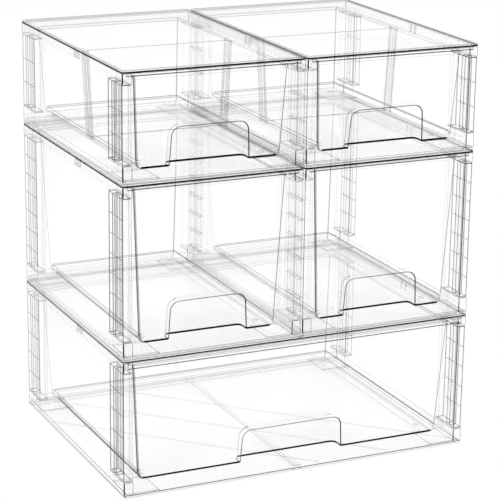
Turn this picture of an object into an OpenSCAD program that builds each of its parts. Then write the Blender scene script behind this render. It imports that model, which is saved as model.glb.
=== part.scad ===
// Stack of clear drawer units: one wide unit, two medium units on it and two small units on those.
// Each unit is a knock-down frame (base plate, four ladder posts, top plate) with one tub drawer.
// Millimetres, +Z up, fronts face -Y, origin at the middle of the footprint on the resting surface.

/* [Stack] */
// Width of one narrow unit
narrow_w = 184.5; // [160:0.5:260]
// Gap between two units that stand side by side
unit_gap = 1; // [0.6:0.1:3]
// Depth of every unit, front to back
depth = 278; // [220:1:360]
// Stacking height of the wide unit
wide_h = 139; // [110:1:200]
// Stacking height of a medium unit
medium_h = 169; // [130:1:240]
// Stacking height of a small unit
small_h = 105.5; // [90:0.5:160]

/* [Plates] */
// Thickness of the flat sheet of every plate
sheet_t = 2.5; // [2:0.1:4]
// Corner radius of every plate, seen from above
plate_r = 3; // [1.5:0.5:5]
// Width of the raised rim on a top plate
rim_w = 3; // [2:0.2:5]
// Height of the rim above the top sheet
rim_rise = 1.2; // [0.8:0.1:2.5]
// Gap left over the rim by the unit that stands on the plate
rim_gap = 0.3; // [0.2:0.1:1]
// Play between the rim and the foot ring of the unit above
rim_play = 0.4; // [0.2:0.1:1]
// Width of the foot ring under a base plate
foot_w = 4; // [3:0.5:8]
// Thickness of rails and skirts
skirt_t = 2.2; // [1.6:0.1:3]
// Depth of the side and rear skirts below a top sheet's upper face
skirt_drop = 10; // [7:0.5:12]
// Height of the side and rear rails above the foot plane
rail_rise = 10; // [8:0.5:12]
// Depth of the front rail of a narrow unit's top
narrow_rail_drop = 5; // [4:0.2:8]
// Depth of the front rail of the wide unit's top
wide_rail_drop = 8.6; // [6:0.2:11]
// How far the lower half of a front rail is stepped back
rail_step = 0.6; // [0.3:0.1:1.2]
// Width of the strip along the middle of the wide base
strip_w = 9; // [6:0.5:14]

/* [Bracing ribs] */
// Where the first diagonal rib of the wide base would meet its front edge, from the left
brace_first = 213; // [150:1:300]
// Distance from one diagonal rib to the next, measured along X
brace_pitch = 78; // [40:1:110]
// Number of diagonal ribs
brace_count = 3; // [1:1:5]
// Width of a diagonal rib
brace_w = 2; // [1.2:0.2:3]
// Height of a diagonal rib
brace_h = 1.2; // [0.8:0.1:2]
// Distance of the skirt's clip ribs from the front
clip_y = 119; // [100:1:150]
// Distance from one clip rib to the other
clip_pitch = 9; // [6:0.5:14]
// Thickness of a clip rib
clip_t = 2; // [1.4:0.2:3]

/* [Sockets and posts] */
// Width of a corner socket along X
socket_x = 10; // [9:0.5:12]
// Length of a corner socket along Y
socket_y = 38; // [34:1:46]
// Wall of a corner socket
socket_wall = 1.8; // [1.4:0.1:2.4]
// Rounding of a socket's free corners
socket_r = 2; // [1:0.5:2.5]
// Depth of the sockets below a top sheet's upper face
top_socket_drop = 12.5; // [11:0.5:18]
// Height of the sockets of the wide base above the foot plane
wide_socket_rise = 17.5; // [12.5:0.5:24]
// Height of the sockets of a narrow base above the foot plane
narrow_socket_rise = 18.5; // [12.5:0.5:24]
// Length of a corner pad along X
pad_x = 37; // [20:1:45]
// Height of a corner pad above the floor sheet
pad_h = 1.5; // [0.8:0.1:2.5]
// Margin between a post and the outside of its socket, along X
post_margin_x = 0.5; // [0.2:0.1:1]
// Margin between a post and the outside of its socket, along Y
post_margin_y = 1; // [0.2:0.1:2]
// Thickness of a post's web, on its inner side
web_t = 1.8; // [1.4:0.1:2.6]
// Thickness of a post's flanges
flange_t = 1.8; // [1.2:0.1:2.6]
// Place of the first middle flange, from the post's own front
mid_flange_y = 19.5; // [14:0.5:22]
// Distance from the first middle flange to the second
mid_flange_pitch = 5.6; // [3.2:0.2:6]
// Thickness of a post's rungs
rung_t = 1.6; // [1.2:0.1:2.4]
// Length of the tenon at each end of a post
tenon_l = 8; // [6:0.5:9]
// Play between a tenon and its socket, on each side
tenon_play = 0.15; // [0.1:0.05:0.4]
// Bays between the rungs of a wide unit's post
wide_bays = 5; // [3:1:8]
// Bays between the rungs of a medium unit's post
medium_bays = 7; // [4:1:10]
// Bays between the rungs of a small unit's post
small_bays = 3; // [2:1:6]

/* [Drawers] */
// Wall of every drawer
wall_t = 2.2; // [1.8:0.1:3]
// Height of a drawer's underside above the foot plane
drawer_lift = 10.8; // [7:0.1:13]
// Clearance between a drawer's top edge and the rail above it
top_clear = 0.8; // [0.5:0.1:3]
// Rounding of a drawer's upright corners
corner_r = 5; // [4:0.5:8]
// Rounding of a drawer's lower edges
edge_r = 5; // [3:0.5:6]
// Width of the bead round a drawer's top edge
bead_w = 0.8; // [0.4:0.1:1.5]
// Height of that bead
bead_h = 3; // [2:0.5:6]
// Distance of a drawer's sides from the unit's sides at the top
side_top = 14; // [12.5:0.5:18]
// Distance of a drawer's back from the unit's back at the top
back_top = 6; // [5:0.5:12]
// Distance of a drawer's back from the unit's back at the bottom
back_low = 14; // [8:0.5:20]
// Distance of the wide drawer's sides from the unit's sides at the bottom
wide_side_low = 21; // [16:0.5:30]
// Distance of a medium drawer's sides from the unit's sides at the bottom
medium_side_low = 21.5; // [16:0.5:30]
// Distance of a small drawer's sides from the unit's sides at the bottom
small_side_low = 18.5; // [15:0.5:26]
// Set-back of the wide drawer's front at the top
wide_front_top = 12; // [4:0.5:15]
// Set-back of the wide drawer's front at the bottom
wide_front_low = 17.5; // [12:0.5:30]
// Set-back of a medium drawer's front at the top
medium_front_top = 9; // [4:0.5:15]
// Set-back of a medium drawer's front at the bottom
medium_front_low = 14.5; // [10:0.5:30]
// Set-back of a small drawer's front at the top
small_front_top = 8; // [4:0.5:12]
// Set-back of a small drawer's front at the bottom
small_front_low = 13.5; // [8:0.5:24]
// Diameter of the round glides under a drawer
glide_d = 6; // [4:0.5:9]
// Height of those glides
glide_h = 1.2; // [0.8:0.1:1.6]
// Distance of the glides from the drawer's underside edges
glide_in = 9; // [7:0.5:14]
// Gap between the glides and the runners that carry them
glide_gap = 0.3; // [0.2:0.1:0.6]
// Width of the runners on a base
runner_w = 7; // [5:0.5:10]

/* [Finger recess] */
// Depth of the recess behind the drawer's front
pull_depth = 14; // [10:0.5:18]
// Width of the wide drawer's recess at its foot
wide_pull_w = 110; // [80:1:150]
// Height of the wide drawer's recess
wide_pull_h = 33; // [24:1:44]
// Width of a narrow drawer's recess at its foot
narrow_pull_w = 80; // [60:1:100]
// Height of a narrow drawer's recess
narrow_pull_h = 37; // [26:1:44]
// How much narrower one side of the recess is at its head
pull_taper = 1.5; // [0:0.5:8]
// Rounding of the recess's upper corners
pull_r = 9; // [5:0.5:12]
// Rounding of the recess's rear upright corners
pull_rear_r = 5; // [1:0.5:8]

/* [Dividers] */
// Thickness of a divider's sheet
divider_t = 2; // [1.6:0.1:3]
// Width of the flange at each end of a divider
divider_flange_w = 10; // [6:0.5:16]
// Thickness of that flange
divider_flange_t = 1.6; // [1.2:0.1:2.4]
// Play between a divider and the drawer that holds it
divider_play = 0.35; // [0.2:0.05:0.8]
// Distance of a divider's top from the drawer's top edge
divider_drop = 0.7; // [0:0.1:4]
// Width of the ribs that hold a divider
guide_w = 2.5; // [1.6:0.1:4]
// Depth of the ribs that hold a divider
guide_depth = 2.2; // [1.6:0.1:3]

/* [Hidden] */
$fn = 32;
arc_steps = 6;   // facets in a quarter round of a drawer
eps = 0.01;
plan_slack = 0.3; // how much wider than the recess the plan is that rounds its rear corners
far = 400;       // reach of cutters and slabs past every edge

CLEAR = [0.86, 0.92, 0.95, 0.45];
CLEAR_DRAWER = [0.92, 0.95, 0.97, 0.4];

foot_h = rim_rise + rim_gap;
floor_z = foot_h + sheet_t;
foot_inset = rim_w + rim_play;
post_x = socket_x - 2 * post_margin_x;
post_y = socket_y - 2 * post_margin_y;
tenon_x = socket_x - 2 * socket_wall - 2 * tenon_play;
tenon_y = socket_y - 2 * socket_wall - 2 * tenon_play;
wide_w = 2 * narrow_w + unit_gap;
narrow_x = (narrow_w + unit_gap) / 2;
runner_z = drawer_lift - glide_h - glide_gap;

// One record per size of unit. The fields are read with the functions below.
WIDE = [wide_w, wide_h, wide_bays, wide_socket_rise, wide_rail_drop, wide_side_low,
        wide_front_top, wide_front_low, wide_pull_w, wide_pull_h];
MEDIUM = [narrow_w, medium_h, medium_bays, narrow_socket_rise, narrow_rail_drop, medium_side_low,
          medium_front_top, medium_front_low, narrow_pull_w, narrow_pull_h];
SMALL = [narrow_w, small_h, small_bays, narrow_socket_rise, narrow_rail_drop, small_side_low,
         small_front_top, small_front_low, narrow_pull_w, narrow_pull_h];

function width_of(u) = u[0];
function height_of(u) = u[1];
function bays_of(u) = u[2];
function socket_rise_of(u) = u[3];
function rail_drop_of(u) = u[4];
function side_low_of(u) = u[5];
function front_top_of(u) = u[6];
function front_low_of(u) = u[7];
function pull_w_of(u) = u[8];
function pull_h_of(u) = u[9];

// Where each unit stands
WIDE_AT = [0, 0, 0];
MEDIUM_LEFT_AT = [-narrow_x, 0, wide_h];
MEDIUM_RIGHT_AT = [narrow_x, 0, wide_h];
SMALL_LEFT_AT = [-narrow_x, 0, wide_h + medium_h];
SMALL_RIGHT_AT = [narrow_x, 0, wide_h + medium_h];

// ---------------------------------------------------------------- shared shapes

// Moves a unit's own frame (front at y = 0, middle at x = 0, feet at z = 0) to its place in the stack.
module at(place) {
    translate([place[0], place[1] - depth / 2, place[2]]) children();
}

// Rectangle with round corners, its lower left corner at the origin.
module rounded_square(size, r) {
    translate([r, 0]) square([size[0] - 2 * r, size[1]]);
    translate([0, r]) square([size[0], size[1] - 2 * r]);
    for (x = [r, size[0] - r], y = [r, size[1] - r]) translate([x, y]) circle(r);
}

// Outline of a unit seen from above, drawn in by inset.
module footprint(u, inset = 0) {
    r = max(plate_r - inset, 0.5);
    translate([inset - width_of(u) / 2, inset])
        rounded_square([width_of(u) - 2 * inset, depth - 2 * inset], r);
}

// Band of the given width inside a unit's outline.
module footprint_band(u, inset, band) {
    difference() {
        footprint(u, inset);
        footprint(u, inset + band);
    }
}

// Places its children at the four corners, with the socket's outer corner at the origin and +X inward.
module each_corner(u) {
    for (side = [-1, 1], y = [0, depth - socket_y])
        translate([side * width_of(u) / 2, y, 0]) scale_x(side) children();
}

// Turns the inward direction to suit the left (-1) or the right (1) side of a unit.
module scale_x(side) {
    if (side < 0) children();
    else mirror([1, 0, 0]) children();
}

// Socket block of height h standing on z = 0, with its two free upper edges rounded.
module socket_block(h) {
    r = socket_r;
    intersection() {
        translate([0, socket_y, -socket_r]) rotate([90, 0, 0])
            linear_extrude(socket_y) rounded_square([socket_x, h + socket_r], r);
        translate([0, 0, -socket_r]) rotate([90, 0, 90])
            linear_extrude(socket_x) rounded_square([socket_y, h + socket_r], r);
        cube([socket_x, socket_y, h]);
    }
}

// The hollow that takes a post's tenon, open at z = 0 and reaching down.
module socket_hollow() {
    translate([socket_wall, socket_wall, -tenon_l - tenon_play])
        cube([socket_x - 2 * socket_wall, socket_y - 2 * socket_wall, tenon_l + tenon_play + eps]);
}

// ---------------------------------------------------------------- base plate

// Low ribs that cross a wide base on the diagonal, from back left to front right.
module diagonal_braces(u) {
    reach = width_of(u) + depth;
    intersection() {
        footprint(u, skirt_t + brace_w);
        translate([-width_of(u) / 2, 0])
            for (k = [0 : brace_count - 1])
                translate([brace_first + k * brace_pitch, 0]) rotate(135)
                    translate([0, -brace_w / 2]) square([reach, brace_w]);
    }
}

// Distance of a drawer's glides from the unit's middle.
function glide_x(u) = width_of(u) / 2 - side_low_of(u) - glide_in;

module base_plate(u, place) {
    rise = socket_rise_of(u);
    is_wide = width_of(u) > narrow_w + unit_gap;
    color(CLEAR) at(place) difference() {
        union() {
            linear_extrude(foot_h + eps) footprint_band(u, foot_inset, foot_w);
            translate([0, 0, foot_h]) linear_extrude(sheet_t) footprint(u);
            // Side and rear rails, open at the front where the drawer comes out
            translate([0, 0, floor_z - eps]) linear_extrude(rail_rise - floor_z + eps) difference() {
                footprint_band(u, 0, skirt_t);
                translate([-far, -eps]) square([2 * far, socket_y / 2]);
            }
            each_corner(u) {
                translate([0, 0, foot_h + eps]) socket_block(rise - foot_h - eps);
                translate([plate_r, 0, floor_z - eps]) cube([pad_x - plate_r, socket_y, pad_h + eps]);
            }
            for (side = [-1, 1])
                translate([side * glide_x(u) - runner_w / 2, socket_y, floor_z - eps])
                    cube([runner_w, depth - socket_y - skirt_t, runner_z - floor_z + eps]);
            if (is_wide) {
                translate([-strip_w / 2, foot_inset, 0])
                    cube([strip_w, depth - 2 * foot_inset, floor_z + brace_h]);
                translate([0, 0, floor_z - eps]) linear_extrude(brace_h + eps) diagonal_braces(u);
            }
        }
        each_corner(u) translate([0, 0, rise]) socket_hollow();
    }
}

// ---------------------------------------------------------------- top plate

module top_plate(u, place) {
    top = height_of(u);
    drop = rail_drop_of(u);
    is_wide = width_of(u) > narrow_w + unit_gap;
    color(CLEAR) at(place) difference() {
        union() {
            translate([0, 0, top - sheet_t]) linear_extrude(sheet_t) footprint(u);
            translate([0, 0, top - eps]) linear_extrude(rim_rise + eps) footprint_band(u, 0, rim_w);
            // Bar between the two units that stand on the wide plate
            if (is_wide)
                translate([-unit_gap / 2 - rim_w, rim_w / 2, top - eps])
                    cube([unit_gap + 2 * rim_w, depth - rim_w, rim_rise + eps]);
            // Side and rear skirts
            translate([0, 0, top - skirt_drop]) linear_extrude(skirt_drop - sheet_t + eps) difference() {
                footprint_band(u, 0, skirt_t);
                translate([-far, -eps]) square([2 * far, socket_y / 2]);
            }
            // Front rail in two steps
            translate([socket_x / 2 - width_of(u) / 2, 0, top - drop / 2])
                cube([width_of(u) - socket_x, skirt_t, drop / 2 - sheet_t / 2]);
            translate([socket_x / 2 - width_of(u) / 2, rail_step, top - drop])
                cube([width_of(u) - socket_x, skirt_t, drop - sheet_t / 2]);
            each_corner(u)
                translate([0, socket_y, top - eps]) rotate([180, 0, 0])
                    socket_block(top_socket_drop - eps);
            // Pair of clip ribs on the inside of each side skirt
            for (side = [-1, 1], y = [clip_y, clip_y + clip_pitch])
                translate([side * width_of(u) / 2, y, top - skirt_drop]) scale_x(side)
                    translate([skirt_t - eps, 0, 0]) cube([skirt_t, clip_t, skirt_drop - sheet_t + eps]);
        }
        each_corner(u)
            translate([0, socket_y, top - top_socket_drop]) rotate([180, 0, 0]) socket_hollow();
    }
}

// ---------------------------------------------------------------- post

// Section of a ladder post: a web on the inner side and four flanges that point outward.
module post_section(size_x, size_y, mid_y) {
    translate([size_x - web_t, 0]) square([web_t, size_y]);
    for (y = [0, mid_y, mid_y + mid_flange_pitch, size_y - flange_t])
        translate([0, y]) square([size_x, flange_t]);
}

// A post for the left side. The same moulding, turned half round, serves on the right side.
module ladder_post(u) {
    low = socket_rise_of(u);
    high = height_of(u) - top_socket_drop;
    bays = bays_of(u);
    pitch = (high - low - rung_t) / bays;
    inset_x = (socket_x - tenon_x) / 2;
    inset_y = (socket_y - tenon_y) / 2;
    translate([post_margin_x, post_margin_y, low]) {
        linear_extrude(high - low) post_section(post_x, post_y, mid_flange_y);
        for (k = [0 : bays]) translate([0, 0, k * pitch]) cube([post_x, post_y, rung_t]);
    }
    for (z = [low - tenon_l, high - rung_t])
        translate([inset_x, inset_y, z]) linear_extrude(tenon_l + rung_t)
            post_section(tenon_x, tenon_y, mid_flange_y + post_margin_y - inset_y);
}

module left_post(u, place, y) {
    color(CLEAR) at(place) translate([-width_of(u) / 2, y, 0]) ladder_post(u);
}

module right_post(u, place, y) {
    color(CLEAR) at(place) translate([width_of(u) / 2, y + socket_y, 0]) rotate(180) ladder_post(u);
}

front_y = 0;
rear_y = depth - socket_y;

// ---------------------------------------------------------------- drawer

function drawer_top(u) = height_of(u) - rail_drop_of(u) - top_clear;
function drawer_h(u) = drawer_top(u) - drawer_lift;

// Share of the way down a drawer's side, 0 at its top edge and 1 at its underside
function down(u, z) = (drawer_top(u) - z) / drawer_h(u);
function side_at(u, z) = side_top + (side_low_of(u) - side_top) * down(u, z);
function front_at(u, z) = front_top_of(u) + (front_low_of(u) - front_top_of(u)) * down(u, z);
function back_at(u, z) = back_top + (back_low - back_top) * down(u, z);

// One level of a drawer: a rectangle with round corners, drawn in by in_x and in_y.
function tub_ring(u, z, in_x, in_y) =
    let (half = width_of(u) / 2 - side_at(u, z) - in_x,
         y0 = front_at(u, z) + in_y,
         y1 = depth - back_at(u, z) - in_y,
         r = max(corner_r - max(in_x, in_y), 0.6))
    [for (c = [0 : 3], k = [0 : arc_steps])
        let (a = 90 * (c + k / arc_steps),
             cx = (c == 0 || c == 3 ? 1 : -1) * (half - r),
             cy = c < 2 ? y1 - r : y0 + r)
        [cx + r * cos(a), cy + r * sin(a), z]];

// Solid through a list of rings with the same number of points, lowest first.
module loft(rings) {
    n = len(rings[0]);
    last = (len(rings) - 1) * n;
    polyhedron(
        points = [for (ring = rings) each ring],
        faces = concat(
            [[for (i = [0 : n - 1]) i]],
            [for (m = [0 : len(rings) - 2], i = [0 : n - 1])
                [m * n + i, m * n + n + i, m * n + n + (i + 1) % n]],
            [for (m = [0 : len(rings) - 2], i = [0 : n - 1])
                [m * n + i, m * n + n + (i + 1) % n, m * n + (i + 1) % n]],
            [[for (i = [n - 1 : -1 : 0]) last + i]]));
}

// A drawer's envelope drawn in by in_x and in_y, with its lower edges rounded by r. The bead
// stands out along its top edge.
module tub(u, in_x, in_y, low, high, r, bead = 0) {
    loft(concat(
        [for (k = [0 : arc_steps - 1])
            let (a = 90 * k / arc_steps, e = r * (1 - sin(a)))
            tub_ring(u, low + r * (1 - cos(a)), in_x + e, in_y + e)],
        [for (z = [low + r, bead > 0 ? high - bead_h : high]) tub_ring(u, z, in_x, in_y)],
        [if (bead > 0) for (z = [high - bead_h, high]) tub_ring(u, z, in_x - bead, in_y - bead)]));
}

// Outline of the finger recess, grown by g, open below the drawer's lower edge.
function pull_outline(w, h, g) =
    let (r = pull_r + g, head = w / 2 - pull_taper + g, foot = w / 2 + g, top = h + g,
         right = concat(
             [for (k = [0 : arc_steps]) let (a = 90 - 90 * k / arc_steps)
                 [head - r + r * cos(a), top - r + r * sin(a)]],
             [[foot, 0], [foot, -2 * edge_r]]))
    concat(right, [for (i = [len(right) - 1 : -1 : 0]) [-right[i][0], right[i][1]]]);

// Plan of the finger recess, grown by g, with round rear corners. It is a little wider than the
// recess's outline and reaches further ahead, so that only its rear shapes the recess.
module pull_plan(w, g, ahead) {
    half = w / 2 + g + plan_slack;
    r = pull_rear_r + g;
    hull() {
        translate([-half, -ahead]) square([2 * half, ahead]);
        for (side = [-1, 1]) translate([side * (half - r), pull_depth + g - r]) circle(r);
    }
}

// The space of the finger recess, parallel to the leaning front, grown by g.
module pull_space(u, g) {
    lean = atan((front_low_of(u) - front_top_of(u)) / drawer_h(u));
    ahead = front_low_of(u) + edge_r;
    translate([0, front_low_of(u), drawer_lift]) rotate([lean, 0, 0]) intersection() {
        translate([0, 2 * pull_depth, 0]) rotate([90, 0, 0])
            linear_extrude(2 * pull_depth + ahead)
                polygon(pull_outline(pull_w_of(u), pull_h_of(u), g));
        translate([0, 0, -3 * edge_r]) linear_extrude(pull_h_of(u) + 5 * edge_r)
            pull_plan(pull_w_of(u), g, 2 * ahead);
    }
}

// Middle of a drawer's length, where the divider stands.
function mid_y(u) = (front_top_of(u) + depth - back_top) / 2;

// Slab across a drawer, w thick, centred on the divider's place.
module cross_slab(u, w) {
    translate([-far, mid_y(u) - w / 2, 0]) cube([2 * far, w, far]);
}

// Ribs on the side walls that hold a divider's flanged ends between them.
module divider_guides(u) {
    held = divider_flange_w + 2 * divider_play;
    difference() {
        cross_slab(u, held + 2 * guide_w);
        cross_slab(u, held);
        tub(u, wall_t + guide_depth, -wall_t, drawer_lift - 1, drawer_top(u) + 2, edge_r - wall_t);
    }
}

module drawer(u, place, divided = false) {
    top = drawer_top(u);
    color(CLEAR_DRAWER) at(place) {
        difference() {
            tub(u, 0, 0, drawer_lift, top, edge_r, bead_w);
            pull_space(u, 0);
            difference() {
                tub(u, wall_t, wall_t, drawer_lift + wall_t, top + 1, edge_r - wall_t);
                pull_space(u, wall_t);
                if (divided) divider_guides(u);
            }
        }
        for (side = [-1, 1], y = [front_low_of(u) + pull_depth + wall_t + glide_in,
                                  depth - back_low - glide_in])
            translate([side * glide_x(u), y, drawer_lift - glide_h])
                cylinder(h = glide_h + wall_t / 2, d = glide_d);
    }
}

// A loose cross wall: a sheet with a flange at each end that stands between the drawer's guides.
module divider(u, place) {
    play = wall_t + divider_play;
    low = drawer_lift + play;
    high = drawer_top(u) - divider_drop;
    color(CLEAR_DRAWER) at(place) intersection() {
        tub(u, play, play, low, high, edge_r - wall_t);
        union() {
            cross_slab(u, divider_t);
            difference() {
                cross_slab(u, divider_flange_w);
                tub(u, play + divider_flange_t, -wall_t, low - 1, high + 1, edge_r - wall_t);
            }
        }
    }
}

// ---------------------------------------------------------------- the pieces

base_plate(WIDE, WIDE_AT);  // wide_base
top_plate(WIDE, WIDE_AT);  // wide_top
drawer(WIDE, WIDE_AT);  // wide_drawer
left_post(WIDE, WIDE_AT, front_y);  // wide_post_front_left
right_post(WIDE, WIDE_AT, front_y);  // wide_post_front_right
left_post(WIDE, WIDE_AT, rear_y);  // wide_post_rear_left
right_post(WIDE, WIDE_AT, rear_y);  // wide_post_rear_right

base_plate(MEDIUM, MEDIUM_LEFT_AT);  // medium_left_base
top_plate(MEDIUM, MEDIUM_LEFT_AT);  // medium_left_top
drawer(MEDIUM, MEDIUM_LEFT_AT);  // medium_left_drawer
left_post(MEDIUM, MEDIUM_LEFT_AT, front_y);  // medium_left_post_front_left
right_post(MEDIUM, MEDIUM_LEFT_AT, front_y);  // medium_left_post_front_right
left_post(MEDIUM, MEDIUM_LEFT_AT, rear_y);  // medium_left_post_rear_left
right_post(MEDIUM, MEDIUM_LEFT_AT, rear_y);  // medium_left_post_rear_right

base_plate(MEDIUM, MEDIUM_RIGHT_AT);  // medium_right_base
top_plate(MEDIUM, MEDIUM_RIGHT_AT);  // medium_right_top
drawer(MEDIUM, MEDIUM_RIGHT_AT);  // medium_right_drawer
left_post(MEDIUM, MEDIUM_RIGHT_AT, front_y);  // medium_right_post_front_left
right_post(MEDIUM, MEDIUM_RIGHT_AT, front_y);  // medium_right_post_front_right
left_post(MEDIUM, MEDIUM_RIGHT_AT, rear_y);  // medium_right_post_rear_left
right_post(MEDIUM, MEDIUM_RIGHT_AT, rear_y);  // medium_right_post_rear_right

base_plate(SMALL, SMALL_LEFT_AT);  // small_left_base
top_plate(SMALL, SMALL_LEFT_AT);  // small_left_top
drawer(SMALL, SMALL_LEFT_AT, divided = true);  // small_left_drawer
divider(SMALL, SMALL_LEFT_AT);  // small_left_divider
left_post(SMALL, SMALL_LEFT_AT, front_y);  // small_left_post_front_left
right_post(SMALL, SMALL_LEFT_AT, front_y);  // small_left_post_front_right
left_post(SMALL, SMALL_LEFT_AT, rear_y);  // small_left_post_rear_left
right_post(SMALL, SMALL_LEFT_AT, rear_y);  // small_left_post_rear_right

base_plate(SMALL, SMALL_RIGHT_AT);  // small_right_base
top_plate(SMALL, SMALL_RIGHT_AT);  // small_right_top
drawer(SMALL, SMALL_RIGHT_AT, divided = true);  // small_right_drawer
divider(SMALL, SMALL_RIGHT_AT);  // small_right_divider
left_post(SMALL, SMALL_RIGHT_AT, front_y);  // small_right_post_front_left
right_post(SMALL, SMALL_RIGHT_AT, front_y);  // small_right_post_front_right
left_post(SMALL, SMALL_RIGHT_AT, rear_y);  // small_right_post_rear_left
right_post(SMALL, SMALL_RIGHT_AT, rear_y);  // small_right_post_rear_right
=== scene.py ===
# %% [markdown]
# # A stack of clear drawer units
# The object is five drawer units of clear moulded plastic: a wide one, two medium ones and two small
# ones. Clear plastic has hardly any colour of its own. What the eye reads are its edges, because light
# that enters a clear wall leaves through its edges and looks darker there. So each piece is modelled
# with its real walls, and its edges get narrow strips tinted dark as painted shade for that darkness,
# mostly darker at the front and lighter at the back.

import math

import bmesh
import bpy
import numpy as np
from mathutils import Matrix, Vector


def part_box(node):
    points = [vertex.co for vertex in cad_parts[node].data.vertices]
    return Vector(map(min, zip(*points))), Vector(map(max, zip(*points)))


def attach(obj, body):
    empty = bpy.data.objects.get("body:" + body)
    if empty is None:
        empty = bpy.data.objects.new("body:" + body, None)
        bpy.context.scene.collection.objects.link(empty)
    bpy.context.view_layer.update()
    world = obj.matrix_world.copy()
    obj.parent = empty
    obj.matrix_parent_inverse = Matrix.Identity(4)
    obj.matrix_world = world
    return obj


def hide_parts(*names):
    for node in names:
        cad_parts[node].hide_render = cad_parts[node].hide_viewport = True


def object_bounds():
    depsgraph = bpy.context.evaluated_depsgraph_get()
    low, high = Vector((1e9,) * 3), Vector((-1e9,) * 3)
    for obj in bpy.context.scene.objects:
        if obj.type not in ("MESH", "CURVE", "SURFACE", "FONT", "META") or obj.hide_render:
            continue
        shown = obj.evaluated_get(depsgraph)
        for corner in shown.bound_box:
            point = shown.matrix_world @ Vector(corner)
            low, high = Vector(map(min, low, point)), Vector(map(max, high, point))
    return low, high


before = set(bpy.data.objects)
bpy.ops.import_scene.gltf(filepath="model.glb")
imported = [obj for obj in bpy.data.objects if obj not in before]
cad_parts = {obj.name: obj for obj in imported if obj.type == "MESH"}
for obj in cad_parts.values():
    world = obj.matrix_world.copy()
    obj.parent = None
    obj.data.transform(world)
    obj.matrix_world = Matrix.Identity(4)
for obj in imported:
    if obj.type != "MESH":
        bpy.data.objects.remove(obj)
cad_low, cad_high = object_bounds()
MM = 0.001

# %% [markdown]
# ## The camera
# A long lens from the front left, a little above the stack, shows the fronts, the left side and a
# sliver of the top. The camera could be aimed with a constraint, but three plain turns keep it exact:
# a turn about the upright axis, a tilt down and a slight roll.

# %% Camera
CAMERA_PLACE = (-0.8397, -1.8137, 0.7813)
CAMERA_LENS = 147.25
CAMERA_TURN, CAMERA_TILT, CAMERA_ROLL = -25.07, -16.50, -0.78


def camera_matrix():
    """Rows of right, up and backward directions from the three turns, at the camera's place."""
    turn = Matrix.Rotation(math.radians(CAMERA_TURN), 3, "Z")
    tilt = Matrix.Rotation(math.radians(CAMERA_TILT), 3, "X")
    roll = Matrix.Rotation(math.radians(CAMERA_ROLL), 3, "Y")
    right, ahead, up = (turn @ tilt @ roll).transposed()
    return Matrix.LocRotScale(CAMERA_PLACE, Matrix((right, up, -ahead)).transposed(), None)


camera_data = bpy.data.cameras.new("camera")
camera_data.lens = CAMERA_LENS
camera_data.sensor_width = 36
camera_data.clip_end = 20
camera = bpy.data.objects.new("camera", camera_data)
bpy.context.scene.collection.objects.link(camera)
camera.matrix_world = camera_matrix()
bpy.context.scene.camera = camera
print("camera at", [round(c, 3) for c in camera.location])

# %% [markdown]
# ## Sizes
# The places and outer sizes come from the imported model. The sizes of walls, ribs and roundings are
# the moulding's own, in millimetres. Each is written once: here if many pieces share it, and
# otherwise in the cell that needs it first.

# %% Shared sizes and the five units
SHEET, FOOT_H, RIM_RISE, UNIT_GAP = 2.5, 1.5, 1.2, 1
FLOOR_Z = FOOT_H + SHEET
EDGE_CUT = 0.45  # width of the strip over an edge, measured on each of its two sides
SMALL_CUT = 0.3  # the same on the smallest mouldings
SINK = 0.3  # how far a rib or block starts inside the sheet that carries it


def unit(name, bays, socket_rise, rail_drop, side_low, front, pull):
    """One drawer unit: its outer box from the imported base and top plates, and its own sizes. front
    is the set-back of the drawer's front at its top and foot, pull the recess's width and height."""
    low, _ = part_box(name + "_base")
    _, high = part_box(name + "_top")
    size = (high - low) / MM
    return {
        "name": name,
        "place": np.array([(low.x + high.x) / 2, low.y, low.z]) / MM,
        "width": size.x,
        "depth": size.y,
        "height": size.z - RIM_RISE,
        "bays": bays,
        "socket_rise": socket_rise,
        "rail_drop": rail_drop,
        "side_low": side_low,
        "front_top": front[0],
        "front_low": front[1],
        "pull_w": pull[0],
        "pull_h": pull[1],
    }


NARROW = {"socket_rise": 18.5, "rail_drop": 5, "pull": (80, 37)}
MEDIUM = {"bays": 7, "side_low": 21.5, "front": (9, 14.5), **NARROW}
SMALL = {"bays": 3, "side_low": 18.5, "front": (8, 13.5), **NARROW}
WIDE = {"bays": 5, "side_low": 21, "front": (12, 17.5), "socket_rise": 17.5, "rail_drop": 8.6,
        "pull": (110, 33)}
UNITS = [
    unit("wide", **WIDE),
    unit("medium_left", **MEDIUM),
    unit("medium_right", **MEDIUM),
    unit("small_left", **SMALL),
    unit("small_right", **SMALL),
]
for u in UNITS:
    print(u["name"], "is", [round(u[k], 1) for k in ("width", "depth", "height")], "mm")

# %% [markdown]
# ## Surfaces as grids
# A moulded part is a few closed skins. Each skin here is a grid of points: rings stacked one after
# another, closed at both ends. A box, a socket with its hollow and a whole tub drawer are then the
# same thing with other rings. Boolean cuts would also work, but they leave long thin triangles, and
# a grid says by its row and column which of its faces lie on an edge. Each face carries the number of
# its finish: a clear wall, a frosted band, or an edge strip of painted shade from faint to dark.

# %% Rings and skins
# FAINT, FINE, EDGE and DARK are edge strips of painted shade, dark tints for the darkness light gives an
# edge
CLEAR, FROST, FAINT, FINE, EDGE, DARK = range(6)


def grid_faces(rows, columns, closed_rows=False):
    """Corner numbers of a grid's faces. Columns close on themselves; rows do if asked to.
    The face at (i, j) joins the points (i, j), (i, j+1), (i+1, j+1) and (i+1, j)."""
    i = np.arange(rows if closed_rows else rows - 1)[:, None]
    j = np.arange(columns)[None, :]
    i_next, j_next = (i + 1) % rows, (j + 1) % columns
    corners = [i * columns + j, i * columns + j_next, i_next * columns + j_next, i_next * columns + j]
    return np.stack(corners, axis=-1).reshape(-1, 4)


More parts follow.
